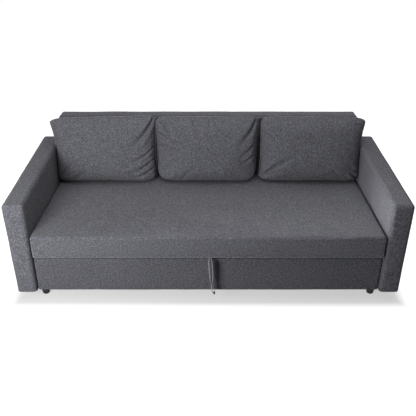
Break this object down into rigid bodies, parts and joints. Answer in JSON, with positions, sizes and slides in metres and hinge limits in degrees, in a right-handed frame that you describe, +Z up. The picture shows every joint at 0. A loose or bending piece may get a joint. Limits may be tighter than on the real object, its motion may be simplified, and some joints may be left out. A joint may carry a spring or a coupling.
{
  "type": "sleeper sofa with pull-out bed",
  "caption": "Wide upholstered sofa with sloping arms, a bench seat, loose back cushions and a padded bed section that a strap pulls out from under the seat.",
  "frame": {"origin": "on the floor, at the middle of the sofa's width and depth", "axes": "+X to the right as seen from the front, +Y towards the back, +Z up; the bed section pulls out along -Y"},
  "size_m": [2.2594, 1.07, 0.8613],
  "materials": {
    "upholstery": "dark cool-grey two-tone woven upholstery cloth over padding",
    "seat_cloth": "the same cloth over foam, stretched flat",
    "cushion_cloth": "the same cloth, loose-filled",
    "bed_cloth": "the same cloth over a thin foam pad",
    "lining": "black spun lining cloth",
    "timber": "planed pine and plywood",
    "slat_wood": "laminated beech",
    "black_steel": "satin black powder coat",
    "zinc_steel": "zinc plated",
    "black_plastic": "matt moulded plastic",
    "wheel_plastic": "matt moulded nylon",
    "stop_rubber": "moulded rubber",
    "webbing": "light grey woven webbing"
  },
  "bodies": {
    "base": {"arm_cover_left": "upholstery", "arm_cover_right": "upholstery", "arm_frame_left": "timber", "arm_frame_right": "timber", "arm_bottom_cloth_left": "lining", "arm_bottom_cloth_right": "lining", "arm_bolts": "zinc_steel", "side_rail_left": "timber", "side_rail_right": "timber", "rear_rail": "timber", "foot_front_left": "black_plastic", "foot_front_right": "black_plastic", "foot_rear_left": "black_plastic", "foot_rear_right": "black_plastic", "foot_rear_centre": "black_plastic", "foot_studs": "zinc_steel", "runner_left": "black_steel", "runner_right": "black_steel", "runner_screws": "zinc_steel", "runner_stops": "stop_rubber", "seat_pad": "seat_cloth", "seat_frame": "black_steel", "seat_slats": "slat_wood", "seat_bottom_cloth": "lining", "back_cover": "upholstery", "back_frame": "timber", "back_front_pad": "upholstery", "back_bottom_cloth": "lining"},
    "pull_out": {"front_panel_cover": "upholstery", "front_panel_board": "timber", "pull_side_rail_left": "timber", "pull_side_rail_right": "timber", "pull_front_rail": "timber", "pull_mid_rail": "timber", "pull_rear_rail": "timber", "pull_centre_rail": "timber", "pull_slats": "slat_wood", "slat_holders": "black_plastic", "bed_pad": "bed_cloth", "corner_brackets": "black_steel", "bracket_screws": "zinc_steel", "caster_blocks": "timber", "caster_forks": "black_steel", "caster_axles": "zinc_steel", "roller_pins": "zinc_steel", "strap_tail": "webbing", "strap_plate": "black_steel", "strap_screws": "zinc_steel"},
    "pull_strap": {"pull_strap": "webbing"},
    "caster_wheel_outer_left": {"caster_wheel_outer_left": "wheel_plastic"},
    "caster_wheel_inner_left": {"caster_wheel_inner_left": "wheel_plastic"},
    "caster_wheel_inner_right": {"caster_wheel_inner_right": "wheel_plastic"},
    "caster_wheel_outer_right": {"caster_wheel_outer_right": "wheel_plastic"},
    "roller_left": {"roller_left": "wheel_plastic"},
    "roller_right": {"roller_right": "wheel_plastic"},
    "back_cushion_left": {"back_cushion_left": "cushion_cloth"},
    "back_cushion_centre": {"back_cushion_centre": "cushion_cloth"},
    "back_cushion_right": {"back_cushion_right": "cushion_cloth"}
  },
  "joints": [
    {"name": "pull_out_slide", "type": "slide", "parent": "base", "child": "pull_out", "axis": [0, -1, 0], "range_m": [0, 0.5]},
    {"name": "strap_swing", "type": "hinge", "parent": "pull_out", "child": "pull_strap", "pos_m": [0.0055, -0.503, 0.292], "axis": [-1, 0, 0], "range_deg": [0, 60]},
    {"name": "caster_outer_left_roll", "type": "hinge", "parent": "pull_out", "child": "caster_wheel_outer_left", "pos_m": [-0.82, -0.376, 0.031], "axis": [1, 0, 0], "range_deg": [0, 956]},
    {"name": "caster_inner_left_roll", "type": "hinge", "parent": "pull_out", "child": "caster_wheel_inner_left", "pos_m": [-0.28, -0.376, 0.031], "axis": [1, 0, 0], "range_deg": [0, 956]},
    {"name": "caster_inner_right_roll", "type": "hinge", "parent": "pull_out", "child": "caster_wheel_inner_right", "pos_m": [0.28, -0.376, 0.031], "axis": [1, 0, 0], "range_deg": [0, 956]},
    {"name": "caster_outer_right_roll", "type": "hinge", "parent": "pull_out", "child": "caster_wheel_outer_right", "pos_m": [0.82, -0.376, 0.031], "axis": [1, 0, 0], "range_deg": [0, 956]},
    {"name": "roller_left_roll", "type": "hinge", "parent": "pull_out", "child": "roller_left", "pos_m": [-0.941, 0.262, 0.146], "axis": [1, 0, 0], "range_deg": [0, 1737]},
    {"name": "roller_right_roll", "type": "hinge", "parent": "pull_out", "child": "roller_right", "pos_m": [0.941, 0.262, 0.146], "axis": [1, 0, 0], "range_deg": [0, 1737]},
    {"name": "back_cushion_left_lift", "type": "slide", "parent": "base", "child": "back_cushion_left", "axis": [0, 0, 1], "range_m": [0, 0.45]},
    {"name": "back_cushion_centre_lift", "type": "slide", "parent": "base", "child": "back_cushion_centre", "axis": [0, 0, 1], "range_m": [0, 0.45]},
    {"name": "back_cushion_right_lift", "type": "slide", "parent": "base", "child": "back_cushion_right", "axis": [0, 0, 1], "range_m": [0, 0.45]}
  ],
  "couplings": [
    {"joint": "caster_outer_left_roll", "follows": "pull_out_slide", "rad_per_m": 33.333},
    {"joint": "caster_inner_left_roll", "follows": "pull_out_slide", "rad_per_m": 33.333},
    {"joint": "caster_inner_right_roll", "follows": "pull_out_slide", "rad_per_m": 33.333},
    {"joint": "caster_outer_right_roll", "follows": "pull_out_slide", "rad_per_m": 33.333},
    {"joint": "roller_left_roll", "follows": "pull_out_slide", "rad_per_m": 60.606},
    {"joint": "roller_right_roll", "follows": "pull_out_slide", "rad_per_m": 60.606}
  ]
}
